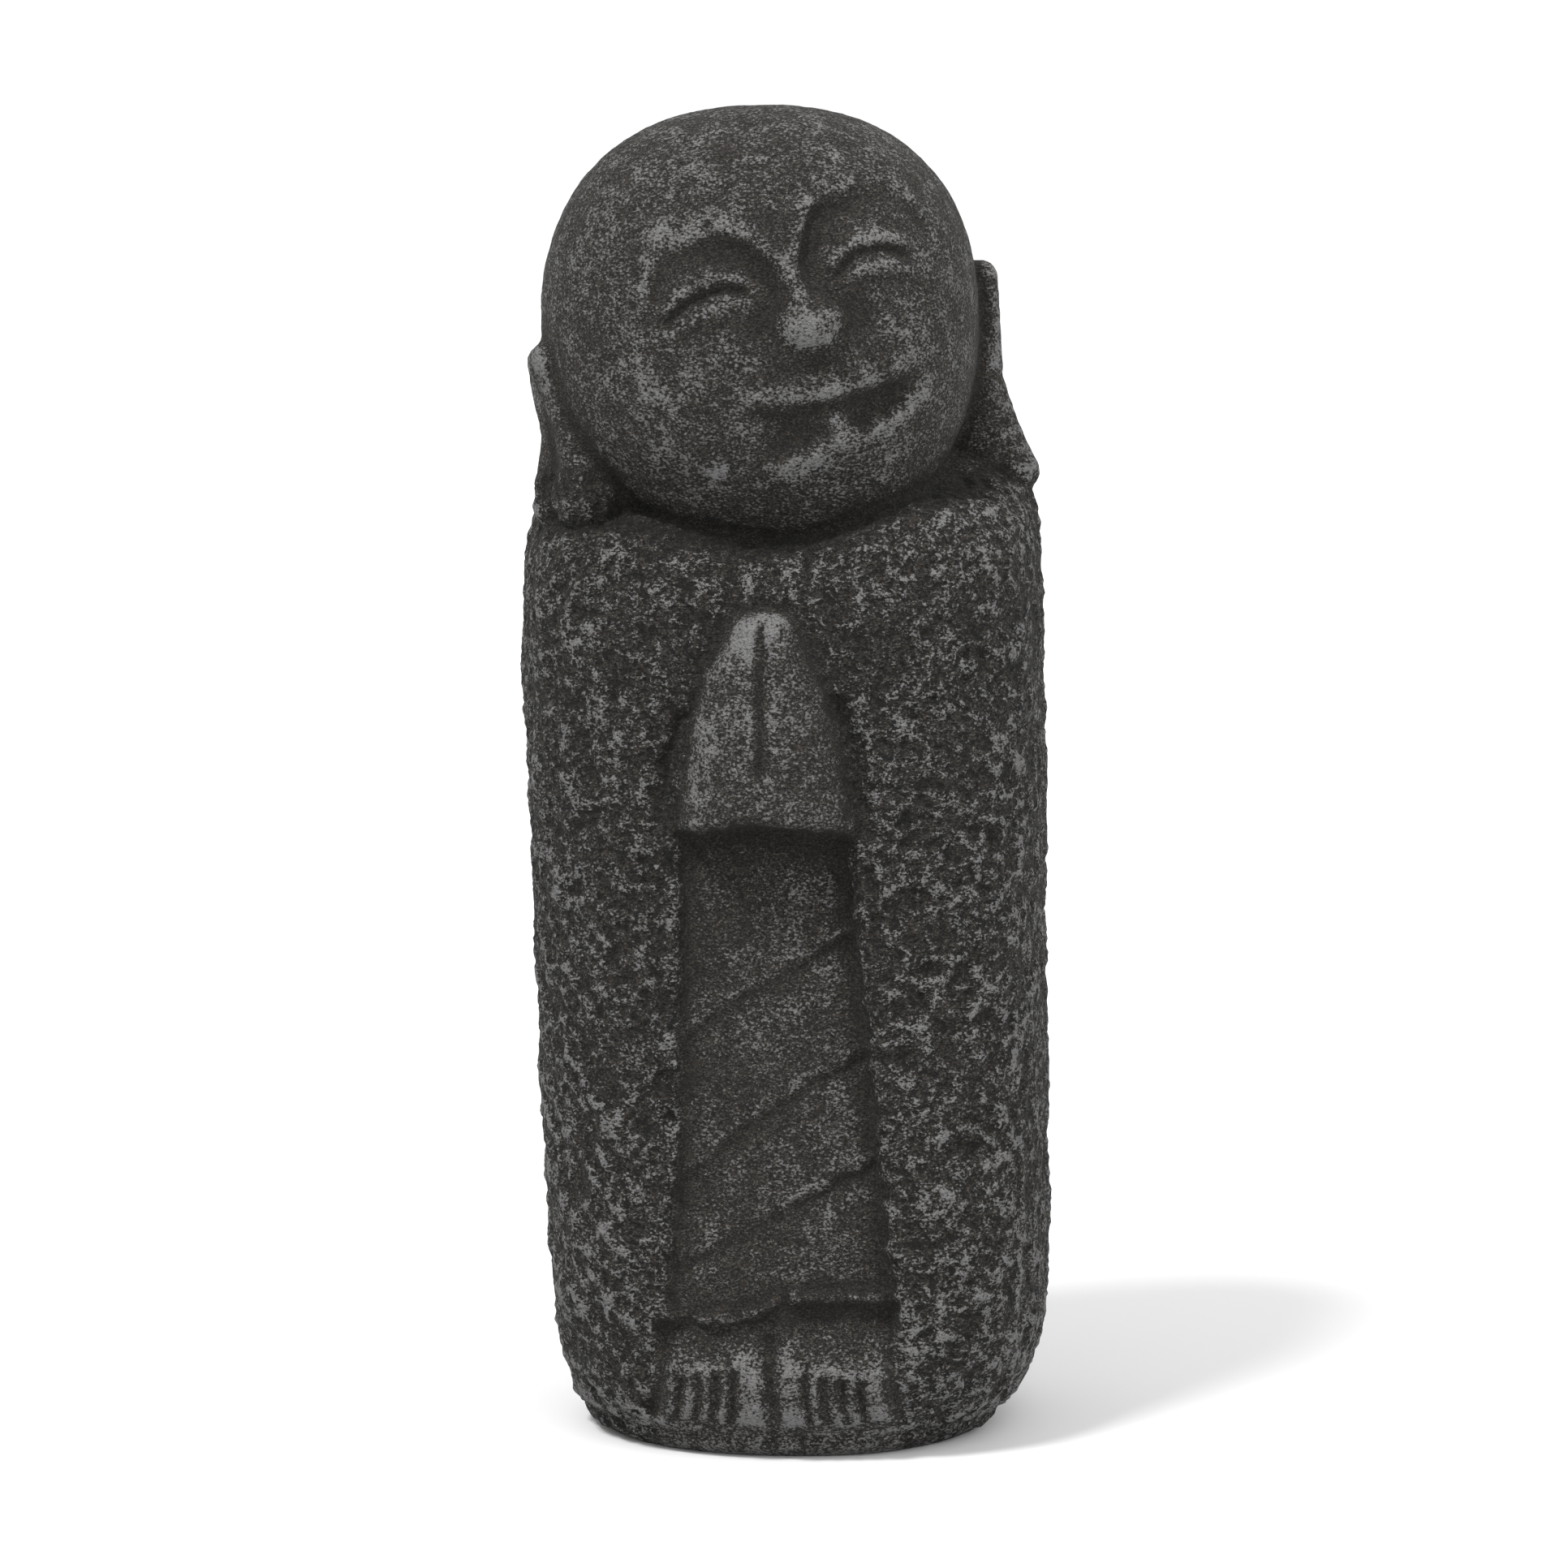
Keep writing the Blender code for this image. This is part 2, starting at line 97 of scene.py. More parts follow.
HEAD_CENTRE = (-6.4, -12.0, 420.3)
HEAD_HALF = (82.3, 79.0, 80.2)  # half its width, depth and height
HEAD_NARROWER = 2.4             # how much less it bulges on its left side
HEAD_SHARPNESS = 2.3
HEAD_TILT = 13.0                # degrees, to the figure's right
HEAD_TURN = 18.0                # degrees, to the figure's left
CHIN_WAY = (0.4, -0.42, -0.81)  # which way the chin lies from the head's middle
CHIN_FULLER = (1.5, -1.5, -6.5)  # how far the chin swells out of the ball
CHIN_SPREAD = 0.30              # how widely that swelling fades into the ball

HANDS_MIDDLE = 1.2
HANDS_TOP = 318.5
CUFF_BOTTOM = 239.0
CUFF_HALF_WIDTH = 33.0
HANDS_EDGE = ((CUFF_BOTTOM, 274, 292, HANDS_TOP), (32, 27, 22, 11))  # heights and half widths
PANEL_FACE = -75.0              # where the sunk panel lies, front to back, at its middle
PANEL_SLANT = 0.030             # how much deeper it lies for each step towards the figure's left
PANEL_TOP = (-30.5, 31.5)       # its two edges at the cuffs
PANEL_FOOT = (-37.0, 48.5)      # its two edges at the hem
PANEL_SPREAD = 125.0            # height below which its edge at the figure's right spreads
HEM = (55.0, 64.0)              # the hem's height on both sides of its step
HEM_STEP = 15.0                 # half the width of that step
FEET_MIDDLE = 2.8
FEET_EDGES = (-39.0, 49.0)
FEET_APART = 2.5                # half the space between the two feet
TOES = 5
BIG_TOE = 11.0                  # width of the big toe
TOE_PITCH = 6.8                 # width of each other toe
BASE_BAND = 8.5                 # height of the crease round the base

HAMMERING = ((15, 2.0, 0.0), (9, 1.3, 7.0))  # spacing, depth and place in the noise of the hollows
BOWL_STRETCH = (1.3, 1.3, 0.8)  # how far the hollows are drawn out along each axis
WEAR_STEPS = (4, 20, 100)       # how far round a point its surroundings are looked at
USUAL_WEAR = 0.45               # wear of a point that is as proud as its surroundings
LUMPY = (0.3, 0.3, 0.35, 0.4, 1.0)  # how lumpy the head, hands, panel, feet and robe are


# ---- Small helpers -----------------------------------------------------------------------------

def smooth(low, high, value):
    """0 below low, 1 above high, and an even slope between."""
    part = np.clip((value - low) / (high - low), 0.0, 1.0)
    return part * part * (3.0 - 2.0 * part)


def turn(tilt, yaw):
    """Rotation of the head: yaw about its own upright axis, then the tilt in the front plane."""
    return Matrix.Rotation(np.radians(-tilt), 3, 'Y') @ Matrix.Rotation(np.radians(yaw), 3, 'Z')


def read_points(mesh):
    """The mesh's points in carver's units, one row for each."""
    flat = np.empty(len(mesh.vertices) * 3, dtype=np.float32)
    mesh.vertices.foreach_get('co', flat)
    return flat.reshape(-1, 3).astype(float) / UNIT


def read_normals(mesh):
    """Which way the mesh faces at each point."""
    flat = np.empty(len(mesh.vertices) * 3, dtype=np.float32)
    mesh.vertex_normals.foreach_get('vector', flat)
    return flat.reshape(-1, 3).astype(float)


def write_points(mesh, points):
    """Move the mesh's points to where points says, in carver's units."""
    mesh.vertices.foreach_set('co', (points * UNIT).astype(np.float32).ravel())
    mesh.update()


def grainy(points, size, stretch=(1, 1, 1), octaves=2, place=(0, 0, 0)):
    """Fractal noise, about -1 to 1, whose blotches are size across, drawn out along an axis."""
    spots = (points + place) / size / stretch
    return np.array([noise.fractal(spot, 0.6, 2.0, octaves) for spot in spots.tolist()])


def head_reach(offsets):
    """How far offsets from the head's middle reach: 1 is on its ball."""
    return np.sqrt(((offsets / HEAD_HALF) ** 2).sum(axis=1))


def ball_mesh(name, around, upright, shape):
    """A sphere primitive whose unit directions are moved by shape(directions)."""
    mesh = bpy.data.meshes.new(name)
    ball = bmesh.new()
    bmesh.ops.create_uvsphere(ball, u_segments=around, v_segments=upright, radius=UNIT)
    ball.to_mesh(mesh)
    ball.free()
    write_points(mesh, shape(read_points(mesh)))
    return mesh


def blob(name, centre, half, rotation=None, around=48, upright=32):
    """An ellipsoid with the given half sizes."""
    spin = np.array(rotation) if rotation else np.eye(3)
    return ball_mesh(name, around, upright, lambda rays: rays * half @ spin.T + centre)


def string_of_blobs(name, keys, count, place=None):
    """Ellipsoids strung closely along a route of (centre, half size) keys."""
    centres, halves = (np.array(column, dtype=float) for column in zip(*keys))
    meshes = []
    for step in np.linspace(0, len(keys) - 1, count):
        centre = [np.interp(step, range(len(keys)), column) for column in centres.T]
        half = [np.interp(step, range(len(keys)), column) for column in halves.T]
        spin = None
        if place:
            centre, spin = place(centre)
        meshes.append(blob(name, centre, half, spin))
    return meshes


# ---- The rough forms, as in the solid ----------------------------------------------------------

def block_shape(rays):
    """Directions to points on the robe's block."""
    level = np.hypot(rays[:, 0], rays[:, 1])
    sharp = np.where(rays[:, 2] > 0, SHOULDER_SHARPNESS, FOOT_SHARPNESS)
    reach = (level ** sharp + abs(rays[:, 2]) ** sharp) ** (-1 / sharp)
    out, rise = level * reach, rays[:, 2] * reach
    z = BLOCK_MIDDLE + np.where(rise > 0, rise * (BLOCK_TOP - BLOCK_MIDDLE),
                                rise * (BLOCK_MIDDLE - BLOCK_BOTTOM))
    squareness = smooth(0, SQUARE_FROM, z)
    plan = FOOT_PLAN_SHARPNESS + (PLAN_SHARPNESS - FOOT_PLAN_SHARPNESS) * squareness
    angle = np.arctan2(rays[:, 1], rays[:, 0])
    side = (abs(np.cos(angle)) ** plan + abs(np.sin(angle)) ** plan) ** (-1 / plan)
    x = BLOCK_WIDTH / 2 * out * side * np.cos(angle)
    y = BLOCK_DEPTH / 2 * out * side * np.sin(angle)
    low = np.clip((TAPER_START - z) / TAPER_START, 0, 1) ** 0.9
    lean = LEAN * (FOOT_LEAN + (1 - FOOT_LEAN) * smooth(-4, 40, z))
    x = x * (1 - low * TAPER / BLOCK_WIDTH) + low * lean
    drop = CHEST_DROP + CHIN_HOLLOW * np.exp(-(x / CHIN_HOLLOW_WIDTH) ** 2)
    drop = drop - CHEST_RISE * smooth(5, 65, x)
    drop = drop * (0.8 * smooth(6, -40, y) + 0.2 * smooth(-40, -80, y))
    z = z - drop * np.clip((z - BLOCK_MIDDLE) / (BLOCK_TOP - BLOCK_MIDDLE), 0, 1) ** 2
    return np.column_stack((x, y, z))


def head_place(spot):
    """A spot in the head's own frame (right, back, up), and the head's rotation."""
    spin = turn(HEAD_TILT, HEAD_TURN)
    return Vector(HEAD_CENTRE) + spin @ Vector(spot), spin


def head_shape(rays):
    """Directions to points on the head's ball, with its chin."""
    reach = (abs(rays) ** HEAD_SHARPNESS).sum(axis=1) ** (-1 / HEAD_SHARPNESS)
    spots = rays * reach[:, None] * HEAD_HALF
    spots[:, 0] -= HEAD_NARROWER * np.clip(spots[:, 0] / HEAD_HALF[0], 0, 1) ** 2
    chin = np.exp(-((rays - CHIN_WAY) ** 2).sum(axis=1) / CHIN_SPREAD)
    return spots + chin[:, None] * CHIN_FULLER + HEAD_CENTRE


def nose():
    """A narrow bridge that swells to a round tip, and the wing at the tip's right."""
    bridge = [((-4, -70, 28), (4, 6, 6)), ((-3, -75, 12), (5.5, 7, 8)),
              ((0.8, -77.5, -3.5), (12.5, 10, 10.2))]
    wing = [((0, -76, -3), (10, 7.5, 8)), ((-5.5, -75.5, -7.5), (6.5, 7, 5.5))]
    return (string_of_blobs('nose', bridge, 9, head_place)
            + string_of_blobs('nose', wing, 3, head_place))


def neck():
    """What fills the chin's shadow, so that the head sits close on the shoulders."""
    return [blob('neck', (-8, -15, 348), (76, 38, 22))]


def ears():
    """Slabs on both sides of the head that end in heavy lobes; the right one has a rolled rim.

    Each runs from its top down to its lobe, in the head's own frame, on a root that joins it to
    the head.
    """
    right = [((-85, 0, 3), (5.5, 10, 7)), ((-85, 1, -10), (6, 11, 11)),
             ((-85, 2, -26), (6, 12, 12)), ((-88, 4, -40), (8, 11, 11)),
             ((-91, 5, -50), (9.5, 11, 10))]
    right_rim = [((-85.5, -7, 4), (4.5, 8, 6.5)), ((-84.5, -9, -9), (4.5, 9, 10)),
                 ((-83.5, -12, -23), (5, 9, 10)), ((-82.5, -14, -36), (7.5, 10, 10)),
                 ((-83.5, -14, -48), (12, 12, 10.5))]
    right_root = [((-79, -2, 2), (8, 10, 12)), ((-77, -8, -13), (8, 11, 12)),
                  ((-75, -9, -27), (8, 12, 12)), ((-70, -5, -46), (10, 14, 14))]
    left = [((86, 4, -3), (6, 13, 7.5)), ((82, 4, -20), (6.5, 15, 12)),
            ((74.5, 4, -40), (10.5, 16, 14)), ((71.5, 1, -58), (15, 16, 12)),
            ((73.5, -3, -75.5), (16, 18, 9.5))]
    left_root = [((80, 8, -4), (9, 11, 9)), ((76, 8, -22), (9, 12, 14)),
                 ((68, 7, -44), (12, 12, 16))]
    strings = ((right, 13), (right_rim, 17), (left, 13), (right_root, 10), (left_root, 7))
    return [part for keys, count in strings
            for part in string_of_blobs('ear', keys, count, head_place)]


def hands():
    """Two palms together, seen edge on, widening from the fingertips to the cuffs."""
    x = HANDS_MIDDLE
    keys = [((x, -82, HANDS_TOP - 9), (12, 12, 9)), ((x - 0.5, -80, 292), (22, 16, 14)),
            ((x, -80, 274), (27, 18, 16)), ((x + 0.5, -80, 252), (30, 19, 16)),
            ((x + 1, -80, CUFF_BOTTOM), (CUFF_HALF_WIDTH, 19, 16))]
    return string_of_blobs('hands', keys, 17)


# ---- Fusing ------------------------------------------------------------------------------------

def apply_modifiers(piece):
    """Keep the piece as its modifiers leave it."""
    shown = piece.evaluated_get(bpy.context.evaluated_depsgraph_get())
    result = bpy.data.meshes.new_from_object(shown)
    piece.modifiers.clear()
    piece.data = result


def remesh(piece):
    """One even skin round everything in the piece."""
    cells = piece.modifiers.new('fuse', 'REMESH')
    cells.mode = 'VOXEL'
    cells.voxel_size = GRAIN * UNIT
    apply_modifiers(piece)


def fuse(name, meshes):
    """A piece with one skin round all the meshes."""
    heap = bmesh.new()
    for mesh in meshes:
        heap.from_mesh(mesh)
        bpy.data.meshes.remove(mesh)
    whole = bpy.data.meshes.new(name)
    heap.to_mesh(whole)
    heap.free()
    piece = bpy.data.objects.new(name, whole)
    bpy.context.scene.collection.objects.link(piece)
    remesh(piece)
    return piece


# ---- Carving -----------------------------------------------------------------------------------

def arc(start, end, rise, power=2.0):
    """Height, at any place across, of a line bowed up between two spots; a negative rise hangs."""
    middle, half = (start[0] + end[0]) / 2, (end[0] - start[0]) / 2

    def height(across):
        part = np.clip((across - middle) / half, -1, 1)
        chord = (start[1] + end[1]) / 2 + (end[1] - start[1]) / 2 * part
        return chord + rise * (1 - abs(part) ** power)
    height.middle, height.half = middle, half
    return height


def ridge(across, up, line, width, height):
    """A rounded ridge, or a groove where height is negative, along an arc."""
    beyond = np.clip(abs(across - line.middle) - line.half, 0, None)
    return height * np.exp(-((up - line(across)) / width) ** 2 - (beyond / width) ** 2)


def swells(across, up, forms):
    """Round swellings, or hollows where the height is negative.

    forms holds the middle, size and height of each.
    """
    relief = 0.0
    for middle, size, height in forms:
        beside, over = (across - middle[0]) / size[0], (up - middle[1]) / size[1]
        relief = relief + height * np.exp(-beside ** 2 - over ** 2)
    return relief


def groove(across, up, start, end, width, depth, bow=0.0):
    """A straight or bowed groove between two spots."""
    start, end = np.array(start, dtype=float), np.array(end, dtype=float)
    length = np.hypot(*(end - start))
    ahead = (end - start) / length
    along = (across - start[0]) * ahead[0] + (up - start[1]) * ahead[1]
    off = -(across - start[0]) * ahead[1] + (up - start[1]) * ahead[0]
    off = off - bow * (1 - (2 * np.clip(along / length, 0, 1) - 1) ** 2)
    beyond = np.clip(-along, 0, None) + np.clip(along - length, 0, None)
    return -depth * np.exp(-(off / width) ** 2 - (beyond / width) ** 2)


# Lines of the face, across and up from the head's middle, those at the figure's right first
BROWS = (arc((-53, 17), (-6, 14), 19, 3), arc((0, 15), (56, 16), 24, 3.5))
EYES = (arc((-47, 8.5), (-21, 13.5), 3.5, 2.5), arc((14, 11.5), (40, 13), 5, 2.5))
MOUTH_LINE = arc((-28, -28), (36, -28), -4)
LOWER_LIP = arc((-40, -49), (38, -38), -8, 3)
MOUTH_LUMPS = (((3, -41), (6.5, 8), 3.4), ((-9, -45), (10, 3.5), 0.9))  # place, size and height
FACE_SWELLS = (                     # place, size and height of each soft form of the face
    ((-17, 1), (7, 9), -1.3),       # sunk on both sides of the nose
    ((19, -3), (7, 10), -1.3),
    ((-3, -18), (14, 3.5), -1.2),   # sunk under the nose
    ((-45, -18), (20, 18), 1.2),    # the cheeks
    ((42, -14), (16, 14), 1.2),
    ((-5, -63), (26, 5), -0.9),     # sunk under the lower lip
)


def socket_relief(u, v, brow, inner, outer, depth):
    """The hollow under a brow: deepest right under its edge, and wider beside the nose.

    inner and outer are its ends across, and depth is how deep it is at the inner one.
    """
    nearer = smooth(outer, inner, u)
    below = brow(u) - v
    reach = 6 + 7 * nearer
    hollow = smooth(-3, 4.5, below) * np.exp(-(np.clip(below - 4, 0, None) / reach) ** 1.5)
    inside = smooth(brow.half + 1.5, brow.half - 4, abs(u - brow.middle))
    return ridge(u, v - 6, brow, 6, 1.0) - depth * inside * hollow * (0.3 + 0.7 * nearer)


def eye_relief(u, v, eye, slit):
    """A smiling eye: a lid, the slit under it, and the cheek pushed up below."""
    lid, cheek = ridge(u, v - 4.6, eye, 3.4, 2.0), ridge(u, v + 5.5, eye, 3.5, 1.2)
    return lid + cheek + ridge(u, v, eye, 1.9, -slit)


def mouth_relief(u, v):
    """An open smile, cut in under the upper lip and rising to the lower one, with a lump in it."""
    below, above = MOUTH_LINE(u) - v, v - LOWER_LIP(u)
    opening = smooth(-2, 3, below) * smooth(1, 10, above) * smooth(-30, -16, u) * smooth(36, 24, u)
    relief = -opening * (2.9 + 1.5 * smooth(0, 18, u)) + ridge(u, v + 1.5, MOUTH_LINE, 2.2, -0.6)
    relief += ridge(u, v - 4, MOUTH_LINE, 4, 0.7) + ridge(u, v, LOWER_LIP, 4.5, 1.1)
    return relief + swells(u, v, MOUTH_LUMPS)


def face_relief(u, v):
    """How far the face stands out of the ball, across (u) and up (v) from the head's middle."""
    relief = socket_relief(u, v, BROWS[0], -14, -45, 3.6) + eye_relief(u, v, EYES[0], 2.3)
    relief += socket_relief(u, v, BROWS[1], 8, 44, 4.4) + eye_relief(u, v, EYES[1], 1.9)
    return relief + mouth_relief(u, v) + swells(u, v, FACE_SWELLS)


def carve_face(points, waver):
    """Cut the face in the head's own frame; waver makes the carver's lines a little uneven."""
    spin = np.array(turn(HEAD_TILT, HEAD_TURN))
    local = (points - HEAD_CENTRE) @ spin
    on_head = smooth(1.35, 1.2, head_reach(local))
    facing = on_head * smooth(-12, -30, local[:, 1])
    local[:, 1] -= facing * face_relief(local[:, 0] + 0.8 * waver, local[:, 2] + 0.8 * waver)
    return local @ spin.T + HEAD_CENTRE


FOLDS = (arc((-30, 159), (36, 201), 2.5),
         arc((-32, 105), (40, 157), 3.5),
         arc((-37, 72), (44, 117), -0.5))


def sleeve_relief(x, z):
    """The line between the palms, and the hollows where the sleeves fall away beside them."""
    relief = groove(x, z, (HANDS_MIDDLE, 313), (HANDS_MIDDLE, 262), 2.3, 2.6)
    relief += groove(x, z, (-29, 279), (-37, 250), 3.0, 3.0, -1)
    return relief + groove(x, z, (28, 284), (36, 248), 4.0, 4.2, 2)


def hem_line(x):
    """Height of the hem, with its step near the middle."""
    return HEM[0] + (HEM[1] - HEM[0]) * smooth(-HEM_STEP, HEM_STEP, x)


def panel_relief(x, z):
    """Cloth in slanting folds, each lying over the next one down, with a gutter beside them."""
    relief = np.zeros_like(x)
    for fold in FOLDS:
        below = fold(x) - z
        nearer = 0.6 + 0.4 * smooth(0, 35, abs(x - fold.middle + 6))
        relief -= 2.0 * nearer * smooth(-2.5, 2.0, below) * np.exp(-np.clip(below, 0, None) / 15)
        relief += ridge(x, z - 2.2, fold, 2.6, 0.5) + ridge(x, z + 1, fold, 1.6, -0.4 * nearer)
    relief += groove(x, z, (PANEL_TOP[1] - 4, 225), (PANEL_FOOT[1] - 4, HEM[1]), 4.5, 1.0)
    return relief


def feet_relief(x, z):
    """Bare feet below the hem: sunk insteps that swell forward to the toes."""
    inside = smooth(FEET_EDGES[0] - 4, FEET_EDGES[0] + 3, x)
    inside *= smooth(FEET_EDGES[1] + 4, FEET_EDGES[1] - 2, x)
    under_hem = smooth(1, -4, z - hem_line(x))
    relief = inside * under_hem * (-8.0 + 9.0 * smooth(57, 32, z)) * smooth(10, 18, z)
    relief += groove(x, z, (FEET_MIDDLE, 46), (FEET_MIDDLE + 1, 18), 3.4, 3.6)
    for side, edge in zip((-1, 1), FEET_EDGES):
        relief += groove(x, z, (edge - side * 2, 42), (edge + side * 2, 18), 3.4, 2.6, -side)
        for toe in range(TOES - 1):
            gap = FEET_MIDDLE + side * (FEET_APART + BIG_TOE + TOE_PITCH * toe)
            relief += groove(x, z, (gap, 34 - toe), (gap + side * 1.5, 17), 1.6, 3.0, -side * 0.8)
    relief += groove(x, z, (-35, 14), (47, 14), 3.0, 2.0, -2)
    return relief


def panel_edges(z):
    """Where the sunk panel's edges are at any height, the one at the figure's right first."""
    heights = (HEM[0], PANEL_SPREAD, CUFF_BOTTOM)
    first = np.interp(z, heights, (PANEL_FOOT[0], PANEL_TOP[0], PANEL_TOP[0]))
    second = np.interp(z, (HEM[1], CUFF_BOTTOM), (PANEL_FOOT[1], PANEL_TOP[1]))
    return first, second


def sink_panel(points, waver):
    """Press everything inside the panel's outline back to the panel's face."""
    x, y, z = points.T
    first, second = panel_edges(z)
    face = PANEL_FACE + PANEL_SLANT * x
    x = x + 1.2 * waver
    inside = smooth(first - 2, first + 2.5, x) * smooth(second + 2.5, second - 2, x)
    hem = hem_line(x)
    cuffs = CUFF_BOTTOM + 1.5 * np.cos(x / 9) + 1.2 * waver
    inside *= smooth(hem - 1, hem + 1.5, z + 3 * waver) * smooth(cuffs + 3, cuffs - 3, z)
    inside *= y < face
    points[:, 1] += inside * (face - y)
    return points


def carve_front(points, waver):
    """Cut the sleeves, the folds and the feet straight back into the front."""
    x, y, z = points.T
    facing = smooth(-45, -60, y)
    across = smooth(PANEL_FOOT[0] - 8, PANEL_FOOT[0] - 3, x)
    across *= smooth(PANEL_FOOT[1] + 8, PANEL_FOOT[1] + 3, x)
    on_panel = across * smooth(-79, -74, y) * smooth(CUFF_BOTTOM, CUFF_BOTTOM - 8, z)
    on_panel *= smooth(-1, 4, z - hem_line(x))
    low = smooth(HEM[1] + 2, HEM[1], z)
    relief = sleeve_relief(x + 0.4 * waver, z) + on_panel * panel_relief(x, z + 2 * waver)
    relief += low * feet_relief(x + 0.4 * waver, z)
    points[:, 1] -= facing * relief
    return points


def carve_base(points):
    """The crease that parts the low band round the base from the robe above it."""
    x, y, z = points.T
    middle = LEAN * FOOT_LEAN
    depth = 2.2 * np.exp(-((z - BASE_BAND) / 2.2) ** 2)
    reach = np.hypot(x - middle, y) + 1e-6
    points[:, 0] -= depth * (x - middle) / reach
    points[:, 1] -= depth * y / reach
    return points


# ---- The hammered skin -------------------------------------------------------------------------

def regions(points):
    """How far each point belongs to the head, the hands, the panel, the feet and the robe."""
    x, y, z = points.T
    ball = smooth(1.22, 1.10, head_reach(points - HEAD_CENTRE))
    ears_part = smooth(362, 372, z) * smooth(60, 80, abs(x))
    head = np.clip(ball + ears_part, 0, 1)
    hand_edge = np.interp(z, *HANDS_EDGE)
    hands_part = smooth(hand_edge + 4, hand_edge - 2, abs(x - HANDS_MIDDLE))
    hands_part *= smooth(CUFF_BOTTOM - 3, CUFF_BOTTOM, z) * smooth(HANDS_TOP + 4, HANDS_TOP - 2, z)
    hands_part *= smooth(-70, -80, y)
    first, second = panel_edges(z)
    panel = smooth(first - 1, first + 2, x) * smooth(second + 1, second - 2, x)
    panel *= smooth(-40, -60, y)
    panel *= smooth(HEM[0] - 2, HEM[0] + 2, z) * smooth(CUFF_BOTTOM, CUFF_BOTTOM - 2, z)
    feet = smooth(FEET_EDGES[0] - 3, FEET_EDGES[0], x)
    feet *= smooth(FEET_EDGES[1] + 3, FEET_EDGES[1], x)
    feet *= smooth(HEM[0] + 2, HEM[0] - 2, z) * smooth(-40, -60, y)
    robe = 1 - np.clip(head + hands_part + panel + feet, 0, 1)
    return head, hands_part, panel, feet, robe


def bowls(points, pitch, depth, place):
    """Hollows left by the hammer, wider than tall and of unlike depth, about pitch apart.

    place moves them in the noise, so that two sizes of hollow don't line up.
    """
    points = points / BOWL_STRETCH
    drift = [grainy(points, pitch * 0.7, place=(shift, 0, 0)) for shift in (0, 50, 90)]
    bent = points + 0.2 * pitch * np.column_stack(drift)
    marks = np.empty(len(points))
    for row, spot in enumerate((bent / pitch + place).tolist()):
        distances, centres = noise.voronoi(spot)
        # each blow has a strength of its own, and reaches half the pitch from its centre
        strength = min(max(noise.noise(centres[0] * 5.3) * 1.6 + 0.55, 0.0), 1.0)
        marks[row] = strength * max(0.0, 1.0 - (distances[0] / 0.5) ** 2)
    return -depth * marks


def chisel_strokes(points):
    """Strokes that run down the sides, and curve inwards low on the figure's right side.

    Returns their relief, and the share of the curved ones in it.
    """
    x, y, z = points.T
    upright = grainy(points, 4.5, stretch=(1, 1, 6), octaves=1, place=(30, 0, 0))
    across = z + x - 25 * np.exp(-(x + 92) / 12)
    curved = grainy(np.column_stack((across, x / 3, y / 3)), 7.5, octaves=1, place=(60, 0, 0))
    share = smooth(-38, -60, x) * smooth(230, 180, z) * smooth(0, -30, y)
    return 1.4 * upright * (1 - share) + 2.4 * curved * share, share


def rough_skin(points, normals):
    """Relief of the whole surface, in carver's units, along the normals.

    Broad lumps, ridges and middling grain lie everywhere, and most of all on the robe.  The robe
    also has the hammer's hollows.  They give way to the chisel's strokes on the sides, the back
    and the shoulders, and grow shallow beside the hands.
    """
    x, y, z = points.T
    robe = regions(points)[-1]
    strokes, curved = chisel_strokes(points)
    side = smooth(0.6, 0.9, abs(normals[:, 0])) + smooth(0.3, 0.8, normals[:, 1])
    by_hands = smooth(60, 45, abs(x)) * smooth(225, 240, z) * smooth(-60, -75, y)
    struck = np.clip(0.7 * side + curved + smooth(310, 330, z), 0, 1)
    broad = grainy(points, 30, octaves=2)
    ridges = 0.35 - abs(grainy(points, 11, octaves=2, place=(5, 3, 8)))
    middling = grainy(points, 5, octaves=2, place=(11, 5, 3))
    relief = broad * (0.8 * robe + 0.3) + ridges * (0.9 * robe + 0.25)
    relief += middling * (0.55 * robe + 0.22)
    dug = sum(bowls(points, *size) for size in HAMMERING)
    relief += robe * ((1 - 0.75 * np.maximum(struck, by_hands)) * dug + struck * 0.6 * strokes)
    return relief * smooth(-1, 4, z)


# ---- Wear, with painted light and shade --------------------------------------------------------

def neighbour_average(points, edges, steps):
    """The points after each has been drawn to the middle of its neighbours, over and over."""
    ends = np.concatenate((edges[:, 0], edges[:, 1]))
    others = np.concatenate((edges[:, 1], edges[:, 0]))
    count = np.bincount(ends, minlength=len(points))[:, None]
    for _ in range(steps):
        sums = [np.bincount(ends, column[others], len(points)) for column in points.T]
        points = 0.3 * points + 0.7 * np.column_stack(sums) / count
    return points


def standing_out(mesh, points):
    """How far each point is proud of its near, middling and wide surroundings.

    All three are in carver's units.  What a wider form alone would give is taken off the near
    and the middling one.
    """
    normals = read_normals(mesh)
    edges = np.empty(len(mesh.edges) * 2, dtype=np.int32)
    mesh.edges.foreach_get('vertices', edges)
    heights = []
    ground = points
    for steps in WEAR_STEPS:
        ground = neighbour_average(ground, edges.reshape(-1, 2), steps)
        heights.append(((points - ground) * normals).sum(axis=1))
    near, middling, wide = heights
    reach = np.cumsum(WEAR_STEPS)
    return near - middling * reach[0] / reach[1], middling - wide * reach[1] / reach[2], wide


def add_attribute(mesh, name, values):
    """Store one value between 0 and 1 on each point, for the material to read."""
    values = np.clip(values, 0, 1).astype(np.float32)
    mesh.attributes.new(name, 'FLOAT', 'POINT').data.foreach_set('value', values)


